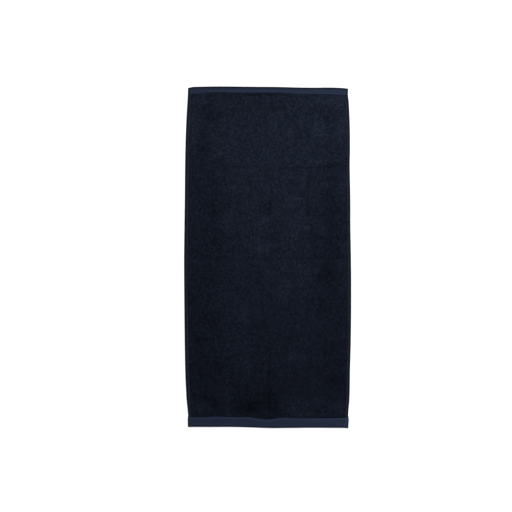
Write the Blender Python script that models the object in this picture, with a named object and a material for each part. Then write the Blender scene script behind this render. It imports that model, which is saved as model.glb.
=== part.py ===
"""A hand towel of dark terry cloth, lying flat with its face up.

Metres, +Z up. The towel's length lies along Y, with the narrow hem at +Y and the wide one at -Y. The
origin is at the middle of its underside, on the surface that it lies on. The cloth is one solid: the
looped field, the two flat-woven end hems and the two turned side edges are one woven piece.
"""

import math
from collections import namedtuple

import bmesh
import bpy
from mathutils import Vector

# Driving dimensions.
LENGTH = 1.000
WIDTH = 0.4912
TOP_HEM = 0.0180
BOTTOM_HEM = 0.0290
LEFT_HEM = 0.0115
RIGHT_HEM = 0.0095
FIELD_THICKNESS = 0.0046
END_HEM_THICKNESS = 0.0024
SIDE_HEM_THICKNESS = 0.0021
RIM_HEIGHT = 0.0012
RIM_ROUND = 0.0016
SLOPE_INTO_HEM = 0.0010
SLOPE_INTO_FIELD = 0.0020

# The long sides: how far each edge falls short of half the width, at heights along the towel. The
# cloth draws in towards both hems, and a little at the cross folds.
Side = namedtuple("Side", "along left right")
SIDES = (
    Side(-0.500, 0.0116, 0.0090),
    Side(-0.474, 0.0108, 0.0078),
    Side(-0.465, 0.0119, 0.0095),
    Side(-0.450, 0.0108, 0.0085),
    Side(-0.420, 0.0078, 0.0059),
    Side(-0.390, 0.0059, 0.0048),
    Side(-0.330, 0.0035, 0.0039),
    Side(-0.245, 0.0020, 0.0016),
    Side(-0.127, 0.0008, 0.0005),
    Side(-0.010, 0.0001, 0.0010),
    Side(0.080, 0.0011, 0.0027),
    Side(0.170, 0.0023, 0.0030),
    Side(0.268, 0.0031, 0.0047),
    Side(0.314, 0.0041, 0.0040),
    Side(0.373, 0.0057, 0.0043),
    Side(0.431, 0.0085, 0.0063),
    Side(0.461, 0.0105, 0.0083),
    Side(0.476, 0.0112, 0.0100),
    Side(0.500, 0.0120, 0.0093),
)

# The two ends: how far each stands past half the length at places across the towel, and its hem's
# depth there as a share of the depth above.
End = namedtuple("End", "across top top_hem bottom bottom_hem")
ENDS = (
    End(-0.233, -0.0033, 1.00, -0.0017, 1.00),
    End(-0.220, -0.0005, 1.13, -0.0018, 1.00),
    End(-0.187, 0.0005, 1.02, -0.0017, 1.00),
    End(-0.163, 0.0010, 1.00, -0.0017, 1.06),
    End(-0.105, 0.0009, 1.04, -0.0018, 1.02),
    End(-0.050, 0.0003, 1.01, -0.0005, 1.02),
    End(-0.028, 0.0001, 1.00, 0.0004, 0.94),
    End(-0.008, 0.0000, 0.99, 0.0010, 0.86),
    End(0.014, -0.0001, 0.99, 0.0015, 0.92),
    End(0.036, -0.0005, 0.96, 0.0014, 1.04),
    End(0.083, -0.0018, 1.04, 0.0009, 1.02),
    End(0.131, -0.0024, 1.07, 0.0005, 0.97),
    End(0.189, -0.0022, 1.16, 0.0009, 1.00),
    End(0.220, -0.0036, 1.19, 0.0010, 1.03),
    End(0.236, -0.0054, 1.14, 0.0018, 1.05),
)

# Soft troughs that folding has left in the cloth. One that runs across the towel lies at a height
# along it, and one that runs along it lies at a place across. Each is strongest at its middle and fades
# to nothing over its reach.
Fold = namedtuple("Fold", "runs at middle reach depth half_width")
FOLDS = (
    Fold("across", -0.238, -0.120, 0.300, 0.0008, 0.012),
    Fold("across", 0.000, 0.020, 0.420, 0.0012, 0.010),
    Fold("across", 0.268, 0.090, 0.420, 0.0014, 0.010),
    Fold("across", 0.420, 0.180, 0.110, 0.0008, 0.013),
    Fold("along", -0.178, 0.330, 0.260, 0.0009, 0.020),
    Fold("along", 0.186, 0.020, 0.480, 0.0009, 0.020),
)

# The fold down the middle: where it lies across the towel and how deep it is, at heights along it.
Crease = namedtuple("Crease", "along across depth")
MIDDLE_CREASE = (
    Crease(-0.500, -0.008, 0.0004),
    Crease(-0.470, -0.007, 0.0011),
    Crease(-0.440, -0.004, 0.0022),
    Crease(-0.380, 0.003, 0.0019),
    Crease(-0.300, 0.006, 0.0012),
    Crease(-0.020, 0.011, 0.0008),
    Crease(0.180, 0.016, 0.0010),
    Crease(0.380, 0.008, 0.0006),
    Crease(0.500, 0.006, 0.0001),
)
MIDDLE_CREASE_HALF_WIDTH = 0.012

# The gentle unevenness of loose cloth: waves of its top surface.
Wave = namedtuple("Wave", "height length_across length_along phase")
WAVES = (
    Wave(0.00025, 0.31, 0.47, 0.6),
    Wave(0.00020, -0.17, 0.29, 2.1),
    Wave(0.00015, 0.11, -0.13, 4.4),
)

# The grid that carries all this: the strips on each side of the middle crease, the spacing of the lines
# across the field, and the lines that a fold gets, in its half widths.
STRIPS_EACH_SIDE = 10
FIELD_SPACING = 0.028
FIRST_STRIP = 0.020
FOLD_LINES = (-1.2, -0.6, 0.0, 0.6, 1.2)
MEETING_ROUNDS = 6

CLOTH_COLOUR = (0.0105, 0.0140, 0.0240, 1.0)
CLOTH_ROUGHNESS = 0.95
SHARP_ANGLE = math.radians(40)

# A grid line lies at a share of the way from one guide to another, moved on by a step.
Line = namedtuple("Line", "start end share step")


def smoothstep(t):
    """Runs from 0 to 1 with level ends."""
    t = min(max(t, 0.0), 1.0)
    return t * t * (3.0 - 2.0 * t)


def read_off(table, key, value, at):
    """A column of a table at any place between its rows, on a smooth curve through them."""
    places = [getattr(row, key) for row in table]
    values = [getattr(row, value) for row in table]
    last = len(table) - 1
    at = min(max(at, places[0]), places[last])
    i = max(k for k in range(last) if places[k] <= at)

    def slope(k):
        before, after = max(k - 1, 0), min(k + 1, last)
        return (values[after] - values[before]) / (places[after] - places[before])

    span = places[i + 1] - places[i]
    t = (at - places[i]) / span
    leaving = slope(i) * span * t * (1.0 - t) ** 2
    arriving = slope(i + 1) * span * t * t * (t - 1.0)
    return values[i] + (values[i + 1] - values[i]) * smoothstep(t) + leaving + arriving


def guides_across(along):
    """The places across the towel that its lengthwise lines follow, at a height along it."""
    return {
        "left": -WIDTH / 2 + read_off(SIDES, "along", "left", along),
        "crease": read_off(MIDDLE_CREASE, "along", "across", along),
        "right": WIDTH / 2 - read_off(SIDES, "along", "right", along),
    }


def guides_along(across):
    """The heights along the towel that its crosswise lines follow, at a place across it."""
    bottom = -LENGTH / 2 - read_off(ENDS, "across", "bottom", across)
    top = LENGTH / 2 + read_off(ENDS, "across", "top", across)
    return {
        "bottom": bottom,
        "bottom_hem": bottom + BOTTOM_HEM * read_off(ENDS, "across", "bottom_hem", across),
        "middle": 0.0,
        "top_hem": top - TOP_HEM * read_off(ENDS, "across", "top_hem", across),
        "top": top,
    }


def on_line(line, guides):
    """Where a grid line lies between its guides."""
    start, end = guides[line.start], guides[line.end]
    return start + line.share * (end - start) + line.step


def lines_across():
    """The lengthwise grid lines, from left to right."""
    left, right = (
        (0.0, RIM_ROUND, hem - SLOPE_INTO_HEM, hem + SLOPE_INTO_FIELD) for hem in (LEFT_HEM, RIGHT_HEM)
    )
    strips = [i / STRIPS_EACH_SIDE for i in range(1, STRIPS_EACH_SIDE)]
    lines = [Line("left", "left", 0.0, step) for step in left]
    lines += [Line("left", "crease", share, 0.0) for share in strips]
    lines += [Line("crease", "crease", 0.0, k * MIDDLE_CREASE_HALF_WIDTH) for k in FOLD_LINES]
    lines += [Line("crease", "right", share, 0.0) for share in strips]
    lines += [Line("right", "right", 0.0, -step) for step in reversed(right)]
    return lines


def even_steps(low, high):
    """Heights between two others, about the field's spacing apart."""
    count = max(round((high - low) / FIELD_SPACING), 1)
    return [low + (high - low) * i / count for i in range(1, count)]


def field_heights():
    """The heights of the crosswise lines in the field: evenly spaced, and closer at each cross fold."""
    heights = [-LENGTH / 2 + BOTTOM_HEM + FIRST_STRIP]
    for fold in FOLDS:
        if fold.runs == "across":
            near = [fold.at + k * fold.half_width for k in FOLD_LINES]
            heights += even_steps(heights[-1], near[0]) + near
    last = LENGTH / 2 - TOP_HEM - FIRST_STRIP
    return heights + even_steps(heights[-1], last) + [last]


def lines_along():
    """The crosswise grid lines, from bottom to top."""
    rim = ((0.0, 0.0), (0.0, RIM_ROUND))
    hem = rim + ((0.5, 0.0), (1.0, -SLOPE_INTO_HEM), (1.0, SLOPE_INTO_FIELD))
    lines = [Line("bottom", "bottom_hem", share, step) for share, step in hem]
    lines += [Line("middle", "middle", 0.0, height) for height in field_heights()]
    lines += [Line("top", "top_hem", share, -step) for share, step in reversed(hem)]
    return lines


def meeting_point(across_line, along_line):
    """Where two grid lines meet. Each bends a little with the other, so it is closed in on."""
    x, y = 0.0, 0.0
    for _ in range(MEETING_ROUNDS):
        x = on_line(across_line, guides_across(y))
        y = on_line(along_line, guides_along(x))
    return x, y


def fold_depth(x, y):
    """How deep the troughs are at a point of the top surface."""
    depth = 0.0
    for fold in FOLDS:
        off, way = (y - fold.at, x) if fold.runs == "across" else (x - fold.at, y)
        strength = smoothstep(1.0 - abs(way - fold.middle) / fold.reach)
        depth += fold.depth * strength * math.exp(-((off / fold.half_width) ** 2))
    off = x - read_off(MIDDLE_CREASE, "along", "across", y)
    middle = read_off(MIDDLE_CREASE, "along", "depth", y)
    return depth + middle * math.exp(-((off / MIDDLE_CREASE_HALF_WIDTH) ** 2))


def waviness(x, y):
    """The gentle rise and fall of the top surface at a point."""
    height = 0.0
    for wave in WAVES:
        turns = x / wave.length_across + y / wave.length_along
        height += wave.height * math.sin(2.0 * math.pi * turns + wave.phase)
    return height


def top_height(x, y):
    """The height of the cloth's top surface at a point."""
    sides, ends = guides_across(y), guides_along(x)
    from_side = min(x - sides["left"], sides["right"] - x)
    from_end = min(y - ends["bottom"], ends["top"] - y)
    past_end_hem = min(y - ends["bottom_hem"], ends["top_hem"] - y)
    past_side_hem = min(x - sides["left"] - LEFT_HEM, sides["right"] - x - RIGHT_HEM)
    past_hems = min(past_end_hem, past_side_hem)
    hem = END_HEM_THICKNESS if past_end_hem < 0.0 else SIDE_HEM_THICKNESS
    rim = min(max(min(from_side, from_end) / RIM_ROUND, 0.0), 1.0)
    flat = RIM_HEIGHT + (hem - RIM_HEIGHT) * rim
    looped = FIELD_THICKNESS - fold_depth(x, y) + waviness(x, y)
    slope = (past_hems + SLOPE_INTO_HEM) / (SLOPE_INTO_HEM + SLOPE_INTO_FIELD)
    return flat + (looped - flat) * smoothstep(slope)


def centre_on_origin(bm):
    """Moves the outline so that the origin is at the middle of its width and its length."""
    xs = [vertex.co.x for vertex in bm.verts]
    ys = [vertex.co.y for vertex in bm.verts]
    middle = Vector(((min(xs) + max(xs)) / 2, (min(ys) + max(ys)) / 2, 0.0))
    bmesh.ops.translate(bm, verts=bm.verts, vec=-middle)


def towel_mesh():
    """The cloth as one closed body: a grid in the towel's outline, with its top face raised from it."""
    across, along = lines_across(), lines_along()
    columns, rows = len(across) - 1, len(along) - 1
    bm = bmesh.new()
    bmesh.ops.create_grid(bm, x_segments=columns, y_segments=rows, size=0.5)
    for vertex in bm.verts:
        column = round((vertex.co.x + 0.5) * columns)
        row = round((vertex.co.y + 0.5) * rows)
        x, y = meeting_point(across[column], along[row])
        vertex.co = Vector((x, y, 0.0))
    underside = list(bm.faces)
    extruded = bmesh.ops.extrude_face_region(bm, geom=underside, use_keep_orig=True)
    for item in extruded["geom"]:
        if isinstance(item, bmesh.types.BMVert):
            item.co.z = top_height(item.co.x, item.co.y)
    bmesh.ops.dissolve_faces(bm, faces=underside, use_verts=False)
    bmesh.ops.recalc_face_normals(bm, faces=bm.faces)
    centre_on_origin(bm)
    mesh = bpy.data.meshes.new("hand_towel")
    bm.to_mesh(mesh)
    bm.free()
    return mesh


def terry_material():
    """Dark navy cotton, quite without gloss."""
    material = bpy.data.materials.new("navy_terry")
    material.use_nodes = True
    shader = material.node_tree.nodes["Principled BSDF"]
    shader.inputs["Base Color"].default_value = CLOTH_COLOUR
    shader.inputs["Roughness"].default_value = CLOTH_ROUGHNESS
    shader.inputs["Metallic"].default_value = 0.0
    return material


def main():
    for item in list(bpy.data.objects):
        bpy.data.objects.remove(item)
    collection = bpy.data.collections.new("Hand towel")
    bpy.context.scene.collection.children.link(collection)
    mesh = towel_mesh()
    mesh.materials.append(terry_material())
    mesh.shade_smooth()
    mesh.set_sharp_from_angle(angle=SHARP_ANGLE)
    towel = bpy.data.objects.new("hand_towel", mesh)
    collection.objects.link(towel)


main()
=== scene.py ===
"""The looks of a dark navy terry hand towel that lies flat, seen from straight above.

Metres, +Z up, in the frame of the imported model. The towel's length lies along Y, with the narrow hem at
+Y and the wide one at -Y. The solid gives the outline. The cloth here is a thin woven ground with loops
of yarn on both its faces, two folded and sewn flat-woven end hems, and narrow turned hems down its sides.
"""

import math
from collections import namedtuple

import bpy
import numpy as np
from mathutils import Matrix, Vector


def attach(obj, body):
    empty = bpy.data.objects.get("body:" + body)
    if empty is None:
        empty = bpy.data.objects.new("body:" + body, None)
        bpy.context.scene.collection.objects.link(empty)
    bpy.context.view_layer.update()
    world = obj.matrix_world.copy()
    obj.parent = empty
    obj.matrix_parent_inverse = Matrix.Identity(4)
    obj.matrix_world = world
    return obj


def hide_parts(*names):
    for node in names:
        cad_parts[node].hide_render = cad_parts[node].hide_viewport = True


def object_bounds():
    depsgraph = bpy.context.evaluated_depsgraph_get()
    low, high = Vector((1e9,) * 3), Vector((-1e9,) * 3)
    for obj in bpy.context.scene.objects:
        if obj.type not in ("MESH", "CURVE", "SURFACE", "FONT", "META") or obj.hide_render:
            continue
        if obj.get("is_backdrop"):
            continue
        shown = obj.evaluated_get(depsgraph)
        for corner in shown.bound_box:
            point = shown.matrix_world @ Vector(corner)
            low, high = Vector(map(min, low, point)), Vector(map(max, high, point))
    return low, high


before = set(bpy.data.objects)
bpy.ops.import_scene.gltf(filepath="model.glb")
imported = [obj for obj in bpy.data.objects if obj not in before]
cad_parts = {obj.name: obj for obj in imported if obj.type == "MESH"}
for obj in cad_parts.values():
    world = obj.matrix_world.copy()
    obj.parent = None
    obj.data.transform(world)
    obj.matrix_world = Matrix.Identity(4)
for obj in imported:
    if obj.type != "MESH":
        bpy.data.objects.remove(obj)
CAD_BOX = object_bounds()

NODE = "hand_towel"
BODY = "root"

# Heights over the surface that the towel lies on.
GROUND_BOTTOM = 0.0014
GROUND_TOP = 0.0021
GROUND_THICKNESS = GROUND_TOP - GROUND_BOTTOM
GROUND_AT_HEMS = 0.0012
ON_THE_SURFACE = 0.00003
LEAST_GROUND = 0.0003

# How deep the hems are, from edge to inner line. The side hems are as deep all along. For the end hems
# each row has a place across the towel, the top hem's depth there and the bottom one's. What a hem covers
# reaches in under it by the tuck.
SIDE_HEMS = {"left": 0.0115, "right": 0.0095}
HEM_TUCK = 0.004
CORNER_ROUND = 0.0016
HEM_DEPTHS = (
    (-0.233, 0.018, 0.029),
    (-0.22, 0.0204, 0.029),
    (-0.187, 0.0184, 0.029),
    (-0.163, 0.018, 0.0308),
    (-0.105, 0.0187, 0.0296),
    (-0.05, 0.0181, 0.0297),
    (-0.028, 0.018, 0.0273),
    (-0.008, 0.0179, 0.025),
    (0.014, 0.0179, 0.0266),
    (0.036, 0.0172, 0.0301),
    (0.083, 0.0188, 0.0297),
    (0.131, 0.0192, 0.0281),
    (0.189, 0.0208, 0.029),
    (0.22, 0.0214, 0.0299),
    (0.236, 0.0205, 0.0305),
)

# Each hem's own sizes. Its stitches lie at stitch_in from its inner line, in a furrow. The edge of the
# cloth that is turned in makes a ridge at ridge_in, with a painted highlight on it. Where the cloth turns
# at the hem's outer edge it has painted shade, as far in as rim_reach, and over a side hem that it wraps
# it has a painted highlight.
Hem = namedtuple(
    "Hem",
    "edge thickness stitch_in furrow furrow_width ridge_in ridge ridge_width ridge_lighter "
    "rim_darker rim_reach end_ridge",
)
HEMS = (
    Hem("top", 0.0023, 0.0046, 0.0004, 0.0008, 0.002, 0.0003, 0.0018, 0.04, 0.77, 0.009, 0.15),
    Hem("bottom", 0.0024, 0.0088, 0.0005, 0.0009, 0.005, 0.0005, 0.0026, 0.3, 0.7, 0.007, 0.95),
    Hem("left", 0.002, 0.0018, 0.00035, 0.0006, 0.005, 0.0001, 0.002, 0.1, 0.9, 0.0085, 0.0),
    Hem("right", 0.002, 0.0018, 0.00035, 0.0006, 0.0045, 0.0001, 0.0016, 0.0, 0.88, 0.008, 0.0),
)
# A hem puckers along its stitches and swells a little all over. Where an end hem wraps a side hem it
# stands a step higher, with a painted highlight along the step that is fainter on the left.
PUCKER = 0.00016
PUCKER_LENGTH = 0.0075
PUCKER_REACH = 0.005
PUCKER_STRETCH = 0.4
HEM_SWELL = 0.00012
HEM_SWELL_LENGTH = 0.045
HEM_SWELL_STRETCH = 2.0
END_STEP = 0.00035
END_STEP_IN = 0.0072
END_STEP_WIDTH = 0.0024
END_HIGHLIGHT_IN = 0.0062
END_HIGHLIGHT_WIDTH = 0.0015
LEFT_END_SHARE = 0.2
# Painted light: the hems are painted a little lighter towards the right.
HEM_PAINTED_LIGHT_ACROSS = 0.11
# A hem is round at its outer edge and its ends, where a sliver keeps its faces apart, and at its inner
# line, where it keeps a share of its thickness. The furrow is shallower on its back.
EDGE_SLIVER = 0.004
END_SLIVER = 0.04
INNER_ROUND = 0.0009
INNER_EDGE_SHARE = 0.4
FURROW_AT_BACK = 0.6
FAR_FROM_ENDS = 1.0

# Troughs that folding has left in the cloth, each along a line from one point to another. Along its
# bottom the loops part, and line says how much painted shade darkens them there. A depth under nothing
# is a ridge.
Fold = namedtuple("Fold", "start end depth half_width line")
FOLDS = (
    # Across the towel, from the narrow hem down.
    ((-0.21, 0.412), (-0.12, 0.42), 0.0009, 0.013, 0.0),
    ((0.12, 0.418), (0.235, 0.408), 0.0009, 0.011, 0.0),
    ((-0.185, 0.264), (-0.1, 0.264), 0.0008, 0.009, 0.17),
    ((-0.1, 0.266), (0.01, 0.263), 0.0006, 0.009, 0.1),
    ((0.01, 0.263), (0.09, 0.264), 0.0006, 0.009, 0.11),
    ((0.095, 0.263), (0.25, 0.269), 0.0004, 0.009, 0.28),
    ((0.095, 0.277), (0.25, 0.283), -0.0011, 0.014, 0.0),
    ((0.095, 0.251), (0.25, 0.255), 0.001, 0.014, 0.0),
    ((-0.16, 0.055), (0.07, 0.056), 0.0004, 0.007, 0.11),
    ((0.085, 0.056), (0.225, 0.054), 0.0006, 0.007, 0.17),
    ((-0.215, 0.022), (0.225, 0.024), -0.0004, 0.01, 0.0),
    ((-0.2, -0.002), (-0.13, -0.002), 0.0014, 0.009, 0.34),
    ((-0.13, -0.002), (0.01, -0.005), 0.001, 0.009, 0.09),
    ((0.01, -0.004), (0.09, -0.003), 0.001, 0.009, 0.14),
    ((0.09, -0.003), (0.215, -0.002), 0.0013, 0.009, 0.26),
    ((-0.22, -0.24), (-0.15, -0.242), 0.001, 0.008, 0.38),
    ((-0.05, -0.22), (0.0, -0.246), 0.0008, 0.007, 0.32),
    ((0.012, -0.241), (0.08, -0.236), 0.0008, 0.01, 0.22),
    ((0.08, -0.236), (0.14, -0.223), 0.0006, 0.009, 0.18),
    # Along it: down its middle, in short runs that don't quite meet.
    ((0.01, 0.23), (0.007, 0.12), 0.0009, 0.01, 0.2),
    ((0.014, 0.085), (0.011, 0.0), 0.0006, 0.01, 0.12),
    ((-0.028, -0.01), (-0.031, -0.07), 0.0006, 0.009, 0.24),
    ((-0.028, -0.07), (-0.008, -0.185), 0.0006, 0.009, 0.24),
    ((0.01, -0.272), (0.001, -0.37), 0.0012, 0.01, 0.42),
    ((0.006, -0.385), (0.004, -0.465), 0.0019, 0.012, 0.28),
    # Along it: at its sides and between.
    ((-0.178, 0.44), (-0.174, -0.38), 0.0008, 0.018, 0.0),
    ((-0.164, 0.24), (-0.158, 0.08), 0.0004, 0.009, 0.14),
    ((-0.19, -0.4), (-0.148, -0.455), 0.0006, 0.009, 0.3),
    ((0.186, 0.34), (0.186, -0.42), 0.0009, 0.017, 0.0),
    ((0.186, 0.2), (0.188, 0.02), 0.0004, 0.009, 0.12),
    ((-0.052, 0.24), (-0.052, 0.17), 0.0005, 0.007, 0.24),
    ((0.12, 0.25), (0.115, 0.12), 0.0005, 0.008, 0.22),
    ((0.134, 0.1), (0.134, 0.04), 0.0004, 0.008, 0.2),
    ((0.127, -0.29), (0.127, -0.335), 0.0005, 0.008, 0.22),
)
FOLD_FADE = 0.05
FOLD_WANDER = 0.0022
FOLD_WANDER_LENGTH = 0.07
LINE_HALF_WIDTH = 0.005
LINE_PARTING = 1.6
SLOPE_STEP = 0.0005

# Wide shallow places where the cloth has sunk a little: where each lies across and along the towel, half
# its sizes across and along, and its depth.
HOLLOWS = (
    (-0.05, -0.468, 0.062, 0.042, 0.0013),
    (0.205, 0.24, 0.04, 0.03, 0.0005),
    (-0.13, 0.17, 0.05, 0.035, 0.0004),
)

# The gentle unevenness of loose cloth: waves of its face.
Wave = namedtuple("Wave", "height length_across length_along phase")
WAVES = (
    Wave(0.00025, 0.31, 0.47, 0.6),
    Wave(0.0002, -0.17, 0.29, 2.1),
    Wave(0.00015, 0.11, -0.13, 4.4),
)
GROUND_SHARE = 0.75

# The loops of yarn. The ones underneath are pressed flat by the towel's weight. Noise of several sizes is
# given as pairs of size and amount.
Pile = namedtuple("Pile", "name strips pitch height span crown width jitter seed")
FACE_PILE = Pile("face_pile", 4, 0.00235, 0.00255, 0.0026, 0.0014, 0.0021, 0.32, 21)
BACK_PILE = Pile("back_pile", 1, 0.0046, 0.00125, 0.0056, 0.0026, 0.0044, 0.28, 22)
ROOT_DEPTH = 0.00025
LOOP_INSET = 0.0012
SIDE_BULGE_HEIGHT = 0.62
SHORTEST_LOOP = 0.35
PRESSED_HEIGHT = 0.0003
TURN = math.radians(90)
TURN_SPREAD = math.radians(38)
HEIGHT_NOISE = ((0.0048, 0.24), (0.025, 0.06))
HEIGHT_JITTER = 0.12
CLUMP_SIZE = 0.0052
CLUMP_LEAN = 0.8
CLUMP_TURN = 0.5
LEAN_JITTER = 0.24
NAP_TOP = -0.22
NAP_BOTTOM = 0.1
NAP_BLOTCH = 0.075
NAP_BLOTCH_LEAN = 0.12
EDGE_LEAN = 0.55
EDGE_REACH = 0.0025
MOST_LEAN = 1.0

# How light the loops are: even dyeing with small uneven spots, painted light that grows towards the
# narrow hem and a little towards the right, and broad patches of painted light and shade for where the
# loops lie otherwise. The patches are given as the hollows are, and by how much lighter they are.
PAINTED_LIGHT_ALONG = 0.28
PAINTED_LIGHT_ACROSS = 0.06
TONE_JITTER = 0.08
TONE_NOISE = ((0.0056, 0.3), (0.009, 0.12), (0.02, 0.06), (0.06, 0.04))
PAINTED_PATCHES = (
    # Painted shade and light along the side folds, and at the two ends.
    (-0.19, -0.08, 0.06, 0.42, -0.28),
    (-0.15, 0.11, 0.05, 0.11, -0.08),
    (0.186, -0.05, 0.04, 0.36, -0.24),
    (0.18, 0.14, 0.05, 0.09, -0.12),
    (0.03, 0.11, 0.08, 0.2, 0.06),
    (-0.05, 0.455, 0.2, 0.04, -0.16),
    (-0.05, -0.41, 0.09, 0.06, -0.12),
    (0.0, -0.42, 0.3, 0.16, -0.16),
    # Smaller patches of painted shade, from the narrow hem down; the first is a painted shadow beside the
    # narrow hem.
    (-0.03, 0.479, 0.09, 0.0055, -0.5),
    (-0.174, 0.407, 0.024, 0.02, -0.44),
    (-0.15, 0.42, 0.021, 0.016, -0.2),
    (0.18, 0.414, 0.027, 0.016, -0.26),
    (-0.192, 0.32, 0.02, 0.016, -0.39),
    (-0.163, 0.208, 0.018, 0.014, -0.1),
    (-0.125, 0.18, 0.034, 0.03, -0.13),
    (0.165, 0.237, 0.06, 0.014, -0.16),
    (-0.163, 0.143, 0.02, 0.02, -0.25),
    (0.001, 0.14, 0.021, 0.019, -0.26),
    (0.122, 0.134, 0.013, 0.019, -0.22),
    (-0.146, 0.06, 0.017, 0.018, -0.15),
    (0.031, 0.066, 0.019, 0.038, -0.18),
    (0.006, -0.005, 0.016, 0.016, -0.14),
    (0.183, -0.045, 0.021, 0.022, -0.28),
    (0.16, -0.064, 0.018, 0.016, -0.3),
    (-0.163, -0.07, 0.016, 0.016, -0.28),
    (0.16, -0.123, 0.04, 0.012, -0.22),
    (0.156, -0.151, 0.019, 0.013, -0.4),
    (-0.155, -0.193, 0.027, 0.018, -0.14),
    (-0.043, -0.203, 0.038, 0.016, -0.22),
    (-0.155, -0.331, 0.038, 0.029, -0.17),
    (-0.198, -0.263, 0.02, 0.018, -0.14),
    (0.19, -0.284, 0.02, 0.014, -0.14),
    (0.186, -0.354, 0.015, 0.026, -0.18),
    (0.197, -0.396, 0.016, 0.019, -0.12),
    (-0.166, -0.425, 0.019, 0.013, -0.22),
    (-0.061, -0.44, 0.031, 0.02, -0.42),
    (0.006, -0.422, 0.02, 0.031, -0.28),
    # Smaller patches of painted light.
    (0.098, -0.458, 0.03, 0.014, 0.45),
    (0.14, -0.463, 0.045, 0.008, 0.3),
    (0.215, -0.452, 0.016, 0.02, 0.28),
    (-0.2, -0.455, 0.032, 0.014, 0.2),
    (-0.108, -0.463, 0.02, 0.006, 0.4),
    (-0.202, 0.462, 0.025, 0.012, 0.25),
    (0.201, 0.455, 0.025, 0.025, 0.31),
    (0.155, 0.462, 0.03, 0.016, 0.14),
    (-0.218, 0.392, 0.01, 0.032, 0.2),
    (0.18, 0.29, 0.06, 0.012, 0.1),
    (0.148, 0.374, 0.02, 0.025, 0.2),
    (0.215, 0.362, 0.013, 0.027, 0.34),
    (0.219, 0.212, 0.01, 0.029, 0.28),
    (0.075, 0.168, 0.019, 0.019, 0.2),
    (-0.115, 0.1, 0.022, 0.031, 0.25),
    (-0.02, 0.102, 0.013, 0.02, 0.34),
    (0.089, 0.08, 0.027, 0.045, 0.17),
    (-0.022, 0.025, 0.013, 0.022, 0.31),
    (0.001, 0.028, 0.009, 0.016, 0.25),
    (-0.21, -0.017, 0.018, 0.018, 0.25),
    (0.086, -0.021, 0.039, 0.008, 0.28),
    (0.213, -0.02, 0.012, 0.018, 0.34),
    (0.117, -0.06, 0.02, 0.017, 0.22),
    (0.057, -0.089, 0.015, 0.02, 0.2),
    (-0.076, -0.161, 0.02, 0.031, 0.22),
    (-0.081, -0.271, 0.028, 0.015, 0.21),
    (0.05, -0.08, 0.03, 0.024, 0.16),
    (0.145, -0.084, 0.02, 0.018, 0.16),
    (0.15, -0.418, 0.02, 0.02, 0.12),
    (0.093, -0.296, 0.034, 0.011, 0.34),
    (-0.058, -0.328, 0.028, 0.029, 0.17),
    (0.141, -0.368, 0.016, 0.013, 0.2),
    (-0.125, -0.393, 0.027, 0.028, 0.2),
    (-0.199, -0.44, 0.03, 0.018, 0.36),
    (-0.113, -0.446, 0.025, 0.013, 0.25),
    (0.081, -0.434, 0.036, 0.025, 0.48),
    (0.141, -0.423, 0.026, 0.02, 0.25),
    (0.204, -0.44, 0.025, 0.02, 0.48),
)

# Sewing: a row of straight stitches along each hem, on both faces.
STITCH_PITCH = 0.0031
STITCH_LENGTH = 0.0027
STITCH_WIDTH = 0.00072
STITCH_HEIGHT = 0.00042
STITCH_SINK = 0.0001
STITCH_JITTER = 0.04
UNSTITCHED = 0.008

# The picture: straight down, as wide as the photograph at the towel's size, with the towel's middle a
# little to the right of the picture's.
VIEW_MIDDLE = (-0.0341, 0.0039)
VIEW_WIDTH = 1.5005
LENS = 100.0
SENSOR = 36.0

# Seeds, so that the same towel comes out each time. Further sizes of noise and further hems count on from
# these, and the loops' heights do from their pile's own seed.
WANDER_SEEDS = (40, 41)
HEIGHT_SEED = 30
NAP_SEED = 71
LEAN_SEEDS = (72, 73)
TURN_SEED = 74
TONE_SEED = 75
PUCKER_SEED = 90
SWELL_SEED = 100
STITCH_SEED = 5

MEETING_ROUNDS = 5
NOISE_SPOTS = 211


def smoothstep(t):
    """Runs from 0 to 1 with level ends."""
    t = np.clip(t, 0.0, 1.0)
    return t * t * (3.0 - 2.0 * t)


def bell(off, width):
    """A soft hump across a line: 1 on the line, and little past twice the width."""
    return np.exp(-((off / width) ** 2))


def within(spot, x, y):
    """A soft hump over a spot: its middle across and along, and half its sizes across and along."""
    across, along, half_across, half_along = spot
    off_across = (x - across) / half_across
    off_along = (y - along) / half_along
    return np.exp(-(off_across**2) - off_along**2)


def quarter_round(share):
    """How high a rounded edge stands at a share of the way in."""
    return np.sqrt(1.0 - (1.0 - share) ** 2)


def read_smoothly(places, values, at):
    """A smooth curve through points in rising order, read at any places between them."""
    places, values = np.asarray(places, float), np.asarray(values, float)
    at = np.clip(at, places[0], places[-1])
    i = np.clip(np.searchsorted(places, at, side="right") - 1, 0, len(places) - 2)
    rates = np.gradient(values, places)
    span = places[i + 1] - places[i]
    t = (at - places[i]) / span
    leaving = rates[i] * span * t * (1.0 - t) ** 2
    arriving = rates[i + 1] * span * t * t * (t - 1.0)
    return values[i] + (values[i + 1] - values[i]) * smoothstep(t) + leaving + arriving


def smooth_noise(x, y, size, seed):
    """Seeded unevenness from -1 to 1, in patches of about the given size."""
    spots = np.random.default_rng(seed).uniform(-1.0, 1.0, (NOISE_SPOTS, NOISE_SPOTS))
    u, v = x / size + NOISE_SPOTS, y / size + NOISE_SPOTS
    i, j = np.floor(u).astype(int), np.floor(v).astype(int)
    s, t = smoothstep(u - i), smoothstep(v - j)
    i0, i1 = i % NOISE_SPOTS, (i + 1) % NOISE_SPOTS
    j0, j1 = j % NOISE_SPOTS, (j + 1) % NOISE_SPOTS
    low = spots[i0, j0] * (1.0 - s) + spots[i1, j0] * s
    high = spots[i0, j1] * (1.0 - s) + spots[i1, j1] * s
    return low * (1.0 - t) + high * t


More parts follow.
